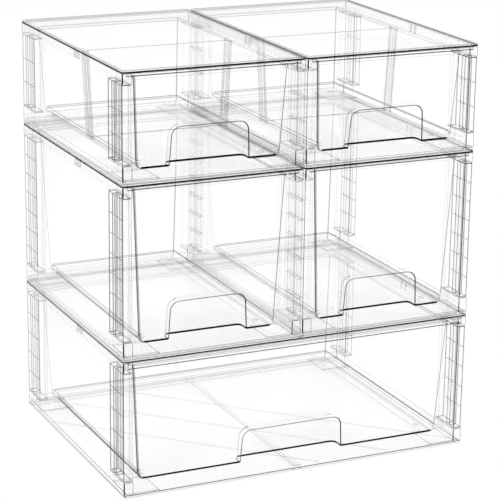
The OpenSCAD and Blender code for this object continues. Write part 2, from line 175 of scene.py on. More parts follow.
def stacked(rings, finish):
    """A closed skin from rings of shape (rows, columns, 3). The first and last ring are capped,
    and finish has one number for each face between two rings."""
    rows, columns, _ = rings.shape
    loops = [grid_faces(rows, columns).ravel()]
    loops += [np.arange(columns)[::-1], (rows - 1) * columns + np.arange(columns)]
    totals = np.concatenate([np.full((rows - 1) * columns, 4), [columns, columns]])
    kinds = np.concatenate([np.asarray(finish).ravel(), [CLEAR, CLEAR]])
    return rings.reshape(-1, 3), np.concatenate(loops), totals, kinds


def looped(rings, finish):
    """A closed skin from rings that come back to the first one, such as a rim or a foot."""
    rows, columns, _ = rings.shape
    totals, kinds = np.full(rows * columns, 4), np.asarray(finish).ravel()
    return rings.reshape(-1, 3), grid_faces(rows, columns, True).ravel(), totals, kinds


def level(outline, z):
    """An outline in plan, as points at height z."""
    return np.column_stack([outline, np.full(len(outline), float(z))])


print("finish numbers:", CLEAR, "for a clear wall, up to", DARK, "for a dark strip")

# %% Prisms, blocks and rails
def softened(outline, cut=EDGE_CUT):
    """Each corner of a closed outline becomes two points, cut away from it along its two sides,
    so that every even side is the strip over a corner."""
    ahead = np.roll(outline, -1, axis=0) - outline
    ahead = ahead / np.linalg.norm(ahead, axis=1)[:, None]
    behind = np.roll(ahead, 1, axis=0)
    return np.stack([outline - cut * behind, outline + cut * ahead], axis=1).reshape(-1, 2)


def drawn_in(outline, inset):
    """A closed anticlockwise outline moved inward: each point goes along the sum of its two sides'
    inward normals, so far that both sides move by inset."""
    side = np.roll(outline, -1, axis=0) - outline
    side = side / np.linalg.norm(side, axis=1)[:, None]
    normal = np.stack([-side[:, 1], side[:, 0]], axis=1)
    both = normal + np.roll(normal, 1, axis=0)
    return outline + inset * 2 * both / (both**2).sum(axis=1)[:, None]


def prism(ring, low, high, marked, cut=EDGE_CUT, strip=EDGE):
    """A ring carried from low to high, with its end edges cut back. marked says which of the
    ring's sides are edge strips."""
    inner = drawn_in(ring, cut)
    walls = [level(ring, low + cut), level(ring, high - cut)]
    rings = np.stack([level(inner, low), *walls, level(inner, high)])
    kinds = np.full((3, len(ring)), strip)
    kinds[1] = np.where(marked, strip, CLEAR)
    return stacked(rings, kinds)


def sharp_prism(outline, low, high, cut=EDGE_CUT, strip=EDGE):
    """A prism of an outline with plain corners, each of which gets its strip."""
    ring = softened(np.asarray(outline, float), cut)
    return prism(ring, low, high, np.arange(len(ring)) % 2 == 0, cut, strip)


def box(x, y, z, cut=EDGE_CUT, strip=EDGE):
    """A block between two values along each axis, with a strip along all twelve edges."""
    outline = [(x[0], y[0]), (x[1], y[0]), (x[1], y[1]), (x[0], y[1])]
    return sharp_prism(outline, z[0], z[1], cut, strip)


def rail(x, y, z, line):
    """A block whose front face has a strip of painted dark shade, of height line, along its foot."""
    ring = softened(np.array([(x[0], y[0]), (x[1], y[0]), (x[1], y[1]), (x[0], y[1])], float))
    inner = drawn_in(ring, EDGE_CUT)
    levels = [z[0] + EDGE_CUT, z[0] + line, z[1] - EDGE_CUT]
    rings = np.stack([level(inner, z[0])] + [level(ring, h) for h in levels] + [level(inner, z[1])])
    kinds = np.full((4, len(ring)), CLEAR)
    kinds[[0, 3]] = FINE
    kinds[:, ::2] = FINE
    kinds[:2, 1] = EDGE
    return stacked(rings, kinds)


def side_kinds(skin):
    """The finishes of a prism's sides as a table that can be written to: a row each for the low
    strip, the wall and the high strip, and a column for each side of its ring."""
    return skin[3][:-2].reshape(3, -1)


def upright(skin, y_middle):
    """Stands up a skin that was drawn flat: its plan's second direction becomes height, and its
    height becomes depth, measured towards the front from y_middle."""
    points, loops, totals, kinds = skin
    return np.stack([points[:, 0], y_middle - points[:, 2], points[:, 1]], axis=1), loops, totals, kinds


print("a block has", len(box((0, 1), (0, 1), (0, 1), cut=0.1)[2]), "faces")

# %% [markdown]
# ## From skins to a piece
# Each piece of the real stack becomes one object that takes the place of its imported node. Its skins
# are joined into one mesh, and each face keeps its finish or its painted edge shade as a material
# number. They could also be united by Booleans, but skins that run a little into each other look the
# same and never fail.

# %% Make a piece
SEAM, SLIVER = 0.02, 0.01  # points this close are one point, and edges this short have no length


def make_piece(u, part, skins, body=None, merged=False):
    """Joins skins into one mesh at the unit's place, gives it the finishes and the painted edge shades,
    and lets it ride on the unit's frame or on a body of its own."""
    node = f"{u['name']}_{part}"
    starts = np.cumsum([0] + [len(s[0]) for s in skins[:-1]])
    points = np.concatenate([s[0] for s in skins]) + u["place"]
    loops = np.concatenate([s[1] + start for s, start in zip(skins, starts)])
    totals = np.concatenate([s[2] for s in skins])
    mesh = bpy.data.meshes.new(node + "_moulding")
    mesh.vertices.add(len(points))
    mesh.vertices.foreach_set("co", (points * MM).astype(np.float32).ravel())
    mesh.loops.add(len(loops))
    mesh.loops.foreach_set("vertex_index", loops.astype(np.int32))
    mesh.polygons.add(len(totals))
    mesh.polygons.foreach_set("loop_start", (np.cumsum(totals) - totals).astype(np.int32))
    for material in WALLS_AND_PAINTED_EDGE_SHADES:
        mesh.materials.append(material)
    mesh.polygons.foreach_set("material_index", np.concatenate([s[3] for s in skins]).astype(np.int32))
    mesh.update(calc_edges=True)
    if merged:
        close_seams(mesh)
    mesh.validate()
    piece = bpy.data.objects.new(node + "_moulding", mesh)
    bpy.context.scene.collection.objects.link(piece)
    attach(piece, body or f"{u['name']}_frame")
    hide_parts(node)


def close_seams(mesh):
    """Merges points that lie on each other, and drops the faces that have no area left."""
    work = bmesh.new()
    work.from_mesh(mesh)
    bmesh.ops.remove_doubles(work, verts=work.verts, dist=SEAM * MM)
    bmesh.ops.dissolve_degenerate(work, dist=SLIVER * MM, edges=work.edges)
    work.to_mesh(mesh)
    work.free()


print("packed nodes to replace:", len(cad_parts))

# %% [markdown]
# ## The finishes and the painted edge shade
# Clear polystyrene lets nearly all light straight through its flat walls. A thin share comes back as
# gloss, more of it at a low angle, and a faint veil from fine scuffs. A glass shader would bend every
# ray at each of some forty walls, which costs time and hides the lines. Here a wall is transparent
# with a thin glossy share over it. The edge strips are painted shade: their dark tint stands in for
# the light that a real edge swallows, in four strengths: faint for low ribs, fine for most edges,
# clear for the outer ones, and dark where the eye looks along a whole sheet. The rim and skirts are
# frosted, because they are moulded rough.

# %% Node helpers
NOISE_LOW, NOISE_HIGH = 0.3, 0.7  # nearly all values of a Noise node lie between these


def new_material(name):
    """An empty node material with its output."""
    material = bpy.data.materials.new(name)
    material.use_nodes = True
    material.node_tree.nodes.clear()
    return material, material.node_tree, material.node_tree.nodes.new("ShaderNodeOutputMaterial")


def math_node(tree, operation, *values):
    """The result of a Math node. Each value is a number or another node's output that feeds it."""
    node = tree.nodes.new("ShaderNodeMath")
    node.operation = operation
    for entry, value in zip(node.inputs, values):
        if isinstance(value, (int, float)):
            entry.default_value = value
        else:
            tree.links.new(value, entry)
    return node.outputs["Value"]


def mixed(tree, share, first, second):
    """The output of a Mix Shader node: share of the second shader, and the rest of the first."""
    mix = tree.nodes.new("ShaderNodeMixShader")
    tree.links.new(share, mix.inputs["Fac"])
    tree.links.new(first, mix.inputs[1])
    tree.links.new(second, mix.inputs[2])
    return mix.outputs["Shader"]


def noise_between(tree, scale, detail, low, high):
    """Noise on object coordinates, spread between two values."""
    place = tree.nodes.new("ShaderNodeTexCoord")
    noise = tree.nodes.new("ShaderNodeTexNoise")
    noise.inputs["Scale"].default_value = scale
    noise.inputs["Detail"].default_value = detail
    spread = tree.nodes.new("ShaderNodeMapRange")
    spread.inputs["From Min"].default_value = NOISE_LOW
    spread.inputs["From Max"].default_value = NOISE_HIGH
    spread.inputs["To Min"].default_value = low
    spread.inputs["To Max"].default_value = high
    tree.links.new(place.outputs["Object"], noise.inputs["Vector"])
    tree.links.new(noise.outputs["Fac"], spread.inputs["Value"])
    return spread.outputs["Result"]


print("materials of the packed model:", len(bpy.data.materials))

# %% Clear plastic and its painted edge shade
WAVE_SCALE, SCUFF_SCALE, GRAIN_SCALE, FROST_SCALE = 9, 22, 160, 420  # noise, in waves per metre
ROUGH_SPREAD, VEIL_SPREAD = (0.7, 1.4), (0.75, 1.25)  # least and most share of the stated value
SKIN_COLOUR = (0.97, 0.975, 0.98, 1)
BUMP_STRENGTH, BUMP_HEIGHT = 0.1, 0.0005


def plastic(name, through, veil, gloss, roughness, scuff_scale):
    """Clear plastic: a transparent share tinted by through, and a white glossy skin. The skin's
    share is veil, varied by noise, plus gloss times the fourth power of how much the surface turns
    away from the eye. It is none for light on its way to a lamp, so that lamps reach the inside."""
    material, tree, output = new_material(name)
    nodes, links = tree.nodes, tree.links
    clear = nodes.new("ShaderNodeBsdfTransparent")
    clear.inputs["Color"].default_value = (*through, 1)
    skin = nodes.new("ShaderNodeBsdfPrincipled")
    skin.inputs["Base Color"].default_value = SKIN_COLOUR
    worn = noise_between(tree, scuff_scale, 4, *[roughness * share for share in ROUGH_SPREAD])
    links.new(worn, skin.inputs["Roughness"])
    bump = nodes.new("ShaderNodeBump")
    bump.inputs["Strength"].default_value = BUMP_STRENGTH
    bump.inputs["Distance"].default_value = BUMP_HEIGHT
    links.new(noise_between(tree, WAVE_SCALE, 2, 0, 1), bump.inputs["Height"])
    links.new(bump.outputs["Normal"], skin.inputs["Normal"])
    turned = nodes.new("ShaderNodeLayerWeight")
    turned.inputs["Blend"].default_value = 0.5
    steep = math_node(tree, "POWER", turned.outputs["Facing"], 4)
    veiled = noise_between(tree, scuff_scale, 5, *[veil * share for share in VEIL_SPREAD])
    share = math_node(tree, "MULTIPLY_ADD", steep, gloss, veiled)
    path = nodes.new("ShaderNodeLightPath")
    not_shadow = math_node(tree, "SUBTRACT", 1, path.outputs["Is Shadow Ray"])
    share = math_node(tree, "MULTIPLY", share, not_shadow)
    links.new(mixed(tree, share, clear.outputs["BSDF"], skin.outputs["BSDF"]), output.inputs["Surface"])
    return material


def shaded_edge_strip(name, through, gloss=0.2):
    """Painted shade for a strip over an edge: tinted dark by through in place of the darkness that light
    gives a clear edge, with no veil and a fine grain.
    """
    return plastic(name, through, veil=0, gloss=gloss, roughness=0.2, scuff_scale=GRAIN_SCALE)


CLEAR_WALL = plastic("clear_wall", (0.9997, 0.9997, 0.9997), veil=0.004, gloss=0.25,
                     roughness=0.12, scuff_scale=SCUFF_SCALE)
FROST_BAND = plastic("frosted_band", (0.985, 0.985, 0.985), veil=0.04, gloss=0.25,
                     roughness=0.45, scuff_scale=FROST_SCALE)
# painted shade: dark tints for the edge strips, from faint to dark, that stand in for the darkness of lit
# clear edges
FAINT_EDGE_SHADE = shaded_edge_strip("faint_painted_shade_edge", (0.8, 0.803, 0.806))
FINE_EDGE_SHADE = shaded_edge_strip("fine_painted_shade_edge", (0.5, 0.505, 0.51))
CLEAR_EDGE_SHADE = shaded_edge_strip("clear_painted_shade_edge", (0.16, 0.165, 0.17))
DARK_EDGE_SHADE = shaded_edge_strip("dark_painted_shade_edge", (0.01, 0.011, 0.012), gloss=0.1)
WALLS_AND_PAINTED_EDGE_SHADES = [CLEAR_WALL, FROST_BAND, FAINT_EDGE_SHADE, FINE_EDGE_SHADE, CLEAR_EDGE_SHADE, DARK_EDGE_SHADE]
print("finishes:", [m.name for m in WALLS_AND_PAINTED_EDGE_SHADES])

# %% [markdown]
# ## Outlines in plan
# A plate's outline is a rectangle with small round corners. The rim, the foot ring and the skirts all
# follow that outline at some inset, so one function of the inset serves for all of them.

# %% Plate outlines
PLATE_R, CORNER_STEPS = 3, 4
LEAST_R = 0.5  # a rounding never gets smaller than this, however far it is drawn in


def footprint(u, inset):
    """The unit's outline in plan, drawn in by inset: four quarter rounds, anticlockwise from the
    front right. The radius shrinks with the inset."""
    r = max(PLATE_R - inset, LEAST_R)
    half, front, back = u["width"] / 2 - inset - r, inset + r, u["depth"] - inset - r
    centres = np.array([(half, front), (half, back), (-half, back), (-half, front)])
    angle = np.radians(np.linspace(-90, 0, CORNER_STEPS + 1)[None, :] + 90 * np.arange(4)[:, None])
    arcs = centres[:, None, :] + r * np.stack([np.cos(angle), np.sin(angle)], axis=-1)
    return arcs.reshape(-1, 2)


def corner_marks():
    """True for the middle side of each corner's quarter round."""
    marks = np.arange(4 * (CORNER_STEPS + 1)) % (CORNER_STEPS + 1)
    return marks == CORNER_STEPS // 2


def ring_profile(inset, low, high, cut=EDGE_CUT):
    """The section of a band as a closed loop of (inset, height): outside up, top inward, inside
    down. Each corner is cut, so every even step is an edge strip."""
    corners = [(inset[0], low), (inset[0], high), (inset[1], high), (inset[1], low)]
    return softened(np.array(corners, float), cut)


def band(u, inset, low, high, finish=CLEAR, strip=FINE, lines=(0, 1, 2, 3)):
    """A band that follows the whole outline, such as the rim or the foot ring. lines says which
    corners of its section show as strips: outside low, outside high, inside high, inside low."""
    section = ring_profile(inset, low, high)
    rings = np.stack([level(footprint(u, i), z) for i, z in section])
    kinds = np.full((len(section), rings.shape[1]), finish)
    kinds[2 * np.array(lines)] = strip
    return looped(rings, kinds)


def open_band(u, inset, low, high, start, finish=CLEAR, lines=(0, 1, 2, 3)):
    """A band along the two sides and the back, whose two ends are closed by caps. Its lines, with
    the same numbers as a band's, are faint."""
    section = ring_profile(inset, low, high)[::-1]
    half, back = u["width"] / 2 - section[:, 0], u["depth"] - section[:, 0]
    z = section[:, 1]
    at_start = np.full_like(z, start)
    stations = [(half, at_start), (half, back), (-half, back), (-half, at_start)]
    rings = np.stack([np.column_stack([x, y, z]) for x, y in stations])
    kinds = np.full((3, len(section)), finish)
    kinds[:, 6 - 2 * np.array(lines)] = FAINT
    return stacked(rings, kinds)


print("outline points:", len(footprint(UNITS[0], 0)))

# %% [markdown]
# ## Corner sockets
# The posts push into hollow blocks at the corners of the plates. A block with a Boolean hole would do,
# but one skin that runs up the outside, over the rounded mouth and down into the hollow has only
# clean faces, and it knows its own edges. On a top plate the same skin hangs upside down.

# %% Sockets
SOCKET_X, SOCKET_Y, SOCKET_WALL, SOCKET_DROP = 10, 38, 1.8, 12.5
SOCKET_R, SOCKET_LEAST_R, MOUTH_R = 0.8, 0.3, 1.5
MOUTH_TURNS = np.radians([0, 30, 60, 90])
TENON_L, TENON_PLAY = 8, 0.15
HOLLOW = TENON_L + TENON_PLAY
PLAN_POINTS = 4  # points of each rounded corner in plan


def socket_plan(x, y, inset, outer):
    """The block's rectangle in plan, drawn in by inset, with four points for each corner C. They lie
    on the curve (1-t)^2 A + 2t(1-t) C + t^2 B from one side to the next. The corner numbered outer
    is the unit's own corner and has the plate's rounding."""
    (left, right), (front, back) = (x[0] + inset, x[1] - inset), (y[0] + inset, y[1] - inset)
    corner = np.array([(left, front), (right, front), (right, back), (left, back)])
    radius = np.full((4, 1), max(SOCKET_R - inset, SOCKET_LEAST_R))
    radius[outer] = max(PLATE_R - inset, SOCKET_LEAST_R)
    ahead = np.roll(corner, -1, axis=0) - corner
    ahead = ahead / np.linalg.norm(ahead, axis=1)[:, None]
    start, end = corner - radius * np.roll(ahead, 1, axis=0), corner + radius * ahead
    t = np.linspace(0, 1, PLAN_POINTS)[None, :, None]
    curve = (1 - t) ** 2 * start[:, None] + 2 * t * (1 - t) * corner[:, None] + t**2 * end[:, None]
    return curve.reshape(-1, 2)


def socket(x, y, base, mouth, outer):
    """A hollow block from its base to its mouth, which may point up or down. Each level is the
    block's plan drawn in: not at all outside, by a quarter round at the mouth, by the wall inside.
    On a front socket the unit's own corner is tinted as a dark line of painted shade and the other
    front corner as a clear one. The remaining lines are fine painted shade."""
    up = 1 if mouth > base else -1
    levels = [(EDGE_CUT, base), (0, base + up * EDGE_CUT)]
    levels += [(MOUTH_R * (1 - math.cos(t)), mouth - up * MOUTH_R * (1 - math.sin(t)))
               for t in MOUTH_TURNS]
    levels += [(SOCKET_WALL, mouth - up * EDGE_CUT), (SOCKET_WALL, mouth - up * HOLLOW)]
    rings = np.stack([level(socket_plan(x, y, i, outer), z) for i, z in levels])
    kinds = np.full((len(levels) - 1, rings.shape[1]), CLEAR)
    outside, mouth_row, front_side = slice(0, 3), 3, PLAN_POINTS - 1
    kinds[outside, 1::PLAN_POINTS] = FINE
    kinds[mouth_row] = FINE
    if outer < 2:
        inner = PLAN_POINTS * (1 - outer)
        kinds[outside, inner:inner + PLAN_POINTS - 1] = EDGE
        kinds[mouth_row, front_side] = EDGE
        kinds[outside, PLAN_POINTS * outer + 1] = DARK
    if up < 0:
        rings, kinds = rings[::-1], kinds[::-1]
    return stacked(rings, kinds)


def corners(u):
    """The four corners as (side, x range, y range), from the front left."""
    edge, back = u["width"] / 2, u["depth"]
    for y in ((0, SOCKET_Y), (back - SOCKET_Y, back)):
        yield -1, (-edge, -edge + SOCKET_X), y
        yield 1, (edge - SOCKET_X, edge), y


def outer_corner(side, y):
    """Number of the socket's corner that is the unit's own corner, anticlockwise from the front left."""
    front = y[0] == 0
    return (0 if front else 3) if side < 0 else (1 if front else 2)


print("a socket has", len(socket((0, SOCKET_X), (0, SOCKET_Y), 0, SOCKET_DROP, 0)[2]), "faces")

# %% [markdown]
# ## Base plates
# A base plate is a flat sheet with a foot ring under it, low rails along its sides and back, four
# sockets on corner pads, and two runners that carry the drawer. The wide base is stiffened by a
# middle strip and low ribs on the slant. Nearly all of it is a prism or a band along the outline,
# so the helpers above make it.

# %% Base plates
FOOT_INSET, FOOT_W, SKIRT, RAIL_RISE, STRIP_W = 3.4, 4, 2.2, 10, 9
PAD_X, PAD_H = 37, 1.5
BRACE_FIRST, BRACE_PITCH, BRACE_COUNT, BRACE_W, BRACE_H = 213, 78, 3, 2, 1.2
GLIDE_IN, RUNNER_W, RUNNER_Z = 9, 7, 9.3


def brace(u, k):
    """Outline of one slanting rib: a strip along x + y = constant, from the front to the first
    edge that it meets."""
    reach = BRACE_FIRST + k * BRACE_PITCH
    inset = SKIRT + BRACE_W
    end_y = min(reach - inset, u["depth"] - inset)
    half = BRACE_W / math.sqrt(2)
    start_x, end_x = reach - inset - u["width"] / 2, reach - end_y - u["width"] / 2
    return [(start_x - half, inset), (start_x + half, inset), (end_x + half, end_y), (end_x - half, end_y)]


def glide_x(u):
    """Distance of the drawer's glides, and of the runners under them, from the middle."""
    return u["width"] / 2 - u["side_low"] - GLIDE_IN


def base_plate(u):
    """All skins of a base plate. The front upper edge of the wide one's sheet gets a dark strip of painted
    shade.
    """
    wide = u["name"] == "wide"
    skins = [
        prism(footprint(u, 0), FOOT_H, FLOOR_Z, corner_marks(), strip=EDGE if wide else FINE),
        band(u, (FOOT_INSET, FOOT_INSET + FOOT_W), 0, FOOT_H + SINK, lines=(0, 3)),
        open_band(u, (0, SKIRT), FLOOR_Z - SINK, RAIL_RISE, SOCKET_Y / 2, lines=(1, 2)),
    ]
    # painted shade: the wide sheet's front upper edge strip is tinted dark
    if wide:
        side_kinds(skins[0])[2, -1] = DARK
    for side, x, y in corners(u):
        pad = sorted((side * (u["width"] / 2 - PAD_X), side * (u["width"] / 2 - PLATE_R)))
        skins.append(socket(x, y, FLOOR_Z - SINK, u["socket_rise"], outer_corner(side, y)))
        skins.append(box(pad, y, (FLOOR_Z - SINK, FLOOR_Z + PAD_H), strip=FINE))
    for side in (-1, 1):
        x = side * glide_x(u)
        skins.append(box((x - RUNNER_W / 2, x + RUNNER_W / 2), (SOCKET_Y, u["depth"] - SKIRT),
                         (FLOOR_Z - SINK, RUNNER_Z), strip=FAINT))
    if wide:
        rib_top = FLOOR_Z + BRACE_H
        skins.append(box((-STRIP_W / 2, STRIP_W / 2), (FOOT_INSET, u["depth"] - FOOT_INSET),
                         (0, rib_top), strip=FINE))
        skins += [sharp_prism(brace(u, k), FLOOR_Z - SINK, rib_top, SMALL_CUT, FAINT)
                  for k in range(BRACE_COUNT)]
    return skins


for u in UNITS:
    make_piece(u, "base", base_plate(u))
print("base plates:", len(UNITS))

# %% [markdown]
# ## Top plates
# A top plate is a sheet with a rim that keeps the next unit from sliding, skirts that hang down, and
# a front rail in two steps. Its front edge is the darkest line in the picture, because the eye looks
# through it along the whole sheet, and here that darkness is painted shade, a dark tint on a strip of
# the edge. A dark box could stand in for that line, but it would show from the back too. So the sheet
# has one more ring than a plain prism, and the line is a part of its edge.

# %% Top plates
RIM_W, SKIRT_DROP, RAIL_STEP = 3, 10, 0.6
CLIP_Y, CLIP_PITCH, CLIP_T = 119, 9, 2
# the lines below are strips of painted dark shade on the sheet's edge and on the rail's foot
SIGHT_EDGE, WIDE_SIGHT_EDGE = 1.7, 1.2  # height of the dark line along the sheet's upper edge
RAIL_LINE = 1.0  # height of the line along the foot of the front rail


def top_sheet(u):
    """The sheet of a top plate. Its edge face has a dark line of painted shade along its upper side,
    with a fine one at the back. The wide sheet has a dark one along its lower side too."""
    outline, high, wide = footprint(u, 0), u["height"], u["name"] == "wide"
    inner, low = drawn_in(outline, EDGE_CUT), high - SHEET
    line_z = high - (WIDE_SIGHT_EDGE if wide else SIGHT_EDGE)
    at_edge = [level(outline, z) for z in (low + EDGE_CUT, line_z, high - EDGE_CUT / 2)]
    rings = np.stack([level(inner, low)] + at_edge + [level(inner, high)])
    kinds = np.full((4, len(outline)), FINE)
    kinds[0] = DARK if wide else FINE
    kinds[1] = np.where(corner_marks(), FINE, FAINT if wide else CLEAR)
    side_y = (outline[:, 1] + np.roll(outline[:, 1], -1)) / 2
    kinds[2] = np.where(side_y > u["depth"] - PLATE_R, FINE, DARK)
    return stacked(rings, kinds)


def top_plate(u):
    """All skins of a top plate."""
    top, half = u["height"], u["width"] / 2
    drop, along = u["rail_drop"], (SOCKET_X / 2 - half, half - SOCKET_X / 2)
    skins = [
        top_sheet(u),
        band(u, (0, RIM_W), top - SINK, top + RIM_RISE, FROST, lines=(1, 2)),
        open_band(u, (0, SKIRT), top - SKIRT_DROP, top - SHEET + SINK, SOCKET_Y / 2, FROST, lines=(0,)),
        box(along, (0, SKIRT), (top - drop / 2, top - SHEET / 2), strip=FINE),
        rail(along, (RAIL_STEP, SKIRT + RAIL_STEP), (top - drop, top - SHEET / 2), RAIL_LINE),
    ]
    if u["name"] == "wide":
        bar = UNIT_GAP / 2 + RIM_W
        skins.append(box((-bar, bar), (RIM_W / 2, u["depth"] - RIM_W / 2),
                         (top - SINK, top + RIM_RISE), strip=FINE))
    for side, x, y in corners(u):
        skins.append(socket(x, y, top - SHEET + SINK, top - SOCKET_DROP, outer_corner(side, y)))
    for side in (-1, 1):
        x = sorted((side * (half - SKIRT + SINK), side * (half - 2 * SKIRT)))
        for y in (CLIP_Y, CLIP_Y + CLIP_PITCH):
            skins.append(box(x, (y, y + CLIP_T), (top - SKIRT_DROP, top - SHEET + SINK), strip=FINE))
    return skins


for u in UNITS:
    make_piece(u, "top", top_plate(u))
print("top plates:", len(UNITS))

# %% [markdown]
# ## Ladder posts
# A post is a comb in plan: a web on its inner side with four flanges that point outward, crossed by
# thin rungs. It ends in a slimmer comb, the tenon, that fills the socket's hollow. The right posts are
# the same moulding turned half round. A mirrored copy would be wrong there, because the two middle
# flanges don't stand in the middle of the comb.

# %% Section of a post
POST_X, POST_Y, POST_MARGIN_X, POST_MARGIN_Y = 9, 36, 0.5, 1
WEB, FLANGE = 1.8, 1.8
MID_FLANGE_Y, MID_FLANGE_PITCH = 19.5, 5.6


def comb(size_x, size_y, mid_y):
    """Outline of the section: three sides of the rectangle, then in and out between the flanges."""
    web = size_x - WEB
    tops = [size_y - FLANGE, mid_y + MID_FLANGE_PITCH, mid_y]
    outline = [(0, 0), (size_x, 0), (size_x, size_y), (0, size_y)]
    for upper, lower in zip(tops, tops[1:] + [0]):
        outline += [(0, upper), (web, upper), (web, lower + FLANGE), (0, lower + FLANGE)]
    return np.array(outline, float)


print("corners of a post's section:", len(comb(POST_X, POST_Y, MID_FLANGE_Y)))

# %% Rungs and tenons
TENON_X, TENON_Y = 6.1, 34.1
RUNG, RUNG_CUT = 1.6, 0.35


def rung(x, y, z):
    """A thin crosspiece between two flanges. Only the two long edges of its outer face show, as strips of
    painted shade.
    """
    skin = box(x, y, (z, z + RUNG), RUNG_CUT, CLEAR)
    side_kinds(skin)[[0, 2], -1] = EDGE
    return skin


def ladder_post(u, strip, clear_corner=None):
    """Skins of a post in its own frame, its outer front corner at the origin. strip is the painted
    shade of its edges, and clear_corner numbers a corner of the comb that shows as a clear line anyway."""
    low, high = u["socket_rise"], u["height"] - SOCKET_DROP
    shift = np.array([POST_MARGIN_X, POST_MARGIN_Y])
    skins = [sharp_prism(comb(POST_X, POST_Y, MID_FLANGE_Y) + shift, low, high, strip=strip)]
    if clear_corner is not None:
        side_kinds(skins[0])[:, 2 * clear_corner] = EDGE
    walls = [0, MID_FLANGE_Y, MID_FLANGE_Y + MID_FLANGE_PITCH, POST_Y - FLANGE]
    pitch = (high - low - RUNG) / u["bays"]
    for z in low + pitch * np.arange(u["bays"] + 1):
        for front, back in zip(walls[:-1], walls[1:]):
            y = (POST_MARGIN_Y + front + FLANGE - SINK, POST_MARGIN_Y + back + SINK)
            x = (POST_MARGIN_X, POST_MARGIN_X + POST_X - WEB + SINK)
            skins.append(rung(x, y, z))
    slack = np.array([(SOCKET_X - TENON_X) / 2, (SOCKET_Y - TENON_Y) / 2])
    tenon = comb(TENON_X, TENON_Y, MID_FLANGE_Y + POST_MARGIN_Y - slack[1]) + slack
    skins.append(sharp_prism(tenon, low - TENON_L, low + RUNG / 2, strip=CLEAR))
    skins.append(sharp_prism(tenon, high - RUNG / 2, high + TENON_L, strip=CLEAR))
    return skins


print("skins of a medium post:", len(ladder_post(UNITS[1], FINE)))

# %% Place the posts
def placed_post(u, side, y):
    """The post's skins at a corner. On the right side the plan is turned half round. The edges are
    painted shade, darker towards the front: clear on the stack's outer front posts, fine on its outer
    rear ones and faint in between, but one line of each front post is always clear."""
    turn = np.array([-side, -side, 1])
    corner = np.array([side * u["width"] / 2, y + (SOCKET_Y if side > 0 else 0), 0])
    on_outside = side * u["place"][0] > -UNIT_GAP
    clear_corner = None if y > 0 else (0 if side < 0 else 3)
    strip = FAINT if not on_outside else (FINE if y > 0 else EDGE)
    skins = ladder_post(u, strip, clear_corner)
    return [(points * turn + corner, *rest) for points, *rest in skins]


for u in UNITS:
    for end, y in (("front", 0), ("rear", u["depth"] - SOCKET_Y)):
        for hand, side in (("left", -1), ("right", 1)):
            make_piece(u, f"post_{end}_{hand}", placed_post(u, side, y))
print("posts:", 4 * len(UNITS))

# %% [markdown]
# ## Tub drawers
# A drawer is a thin tub that widens to its mouth, with a finger recess let into its leaning front.
# Cutting the recess with Booleans would leave slivers where it meets the foot's rounding, so a drawer
# is one skin too. Going up, each ring is the tub's outline at that height, a rectangle with round
# corners, and the recess is a notch in the front side of the ring. The notch is as wide as the arch
# is at that height, and at the arch's head it closes. Over the top edge the rings go down again
# inside, drawn in by the wall.

# %% Walls of a drawer
DRAWER_LIFT, TOP_CLEAR, WALL = 10.8, 0.8, 2.2
SIDE_TOP, BACK_TOP, BACK_LOW = 14, 6, 14


def drawer_top(u):
    """Height of a drawer's top edge."""
    return u["height"] - u["rail_drop"] - TOP_CLEAR


def down(u, z):
    """Share of the way down the drawer's wall, 0 at its top edge and 1 at its underside."""
    return (drawer_top(u) - z) / (drawer_top(u) - DRAWER_LIFT)


def side_x(u, z):
    """Distance of the drawer's side wall from the middle at height z."""
    return u["width"] / 2 - SIDE_TOP - (u["side_low"] - SIDE_TOP) * down(u, z)


def front_y(u, z):
    """Set-back of the drawer's leaning front at height z."""
    return u["front_top"] + (u["front_low"] - u["front_top"]) * down(u, z)


print("the wide drawer is", round(2 * side_x(UNITS[0], drawer_top(UNITS[0]))), "mm wide at its top")

# %% The finger recess
PULL_DEPTH, PULL_TAPER, PULL_R, PULL_REAR_R = 14, 1.5, 9, 5
LOWER_R = 6.5
# the lines sized below are strips of painted shade on the drawer
RECESS_LIP = 1.0  # width of the line round the recess on the drawer's front
FOOT_LINE, REAR_LINE = 1.1, 2.2  # heights of the lines along the drawer's foot and the recess's
FILLET_LINE = 1  # height of the line along the upper end of the foot's rounding
ARCH_TURNS = np.radians([0, 18, 36, 52, 66])


def recess_half(u, z, grow):
    """Half the recess's width at height z, with its outline grown: a straight taper, less a
    quarter round that closes in at the head."""
    h, head_r = z - DRAWER_LIFT, PULL_R + grow
    head_start = u["pull_h"] - PULL_R
    taper = PULL_TAPER * np.clip(h / head_start, 0, 1)
    close = head_r - np.sqrt(head_r**2 - np.clip(h - head_start, 0, head_r) ** 2)
    return u["pull_w"] / 2 + grow - taper - close


def recess_levels(u, low, grow):
    """Heights from a floor at low to just above the recess, with the notch's depth at each."""
    head = DRAWER_LIFT + u["pull_h"] + grow
    lower = low + np.array([0, EDGE_CUT, FOOT_LINE, REAR_LINE, LOWER_R - FILLET_LINE, LOWER_R])
    arch = head - (PULL_R + grow) * (1 - np.sin(ARCH_TURNS))
    z = np.concatenate([lower, arch, [head - EDGE_CUT, head, head, head + RECESS_LIP]])
    notch = np.full(len(z), float(PULL_DEPTH))
    notch[-3:] = PULL_DEPTH - 2 * EDGE_CUT, EDGE_CUT, 0
    return z, notch


print("rings up to just above a recess:", len(recess_levels(UNITS[0], DRAWER_LIFT, 0)[0]))

# %% Rings of the tub
CORNER_R, DRAWER_LEAST_R, ARC_STEPS = 5, 0.6, 6
REAR_TURNS = np.radians(np.linspace(0, 90, 5))
NOTCH_POINTS = 2 * (2 + len(REAR_TURNS))
RING_CORNERS = 4 * (ARC_STEPS + 1)


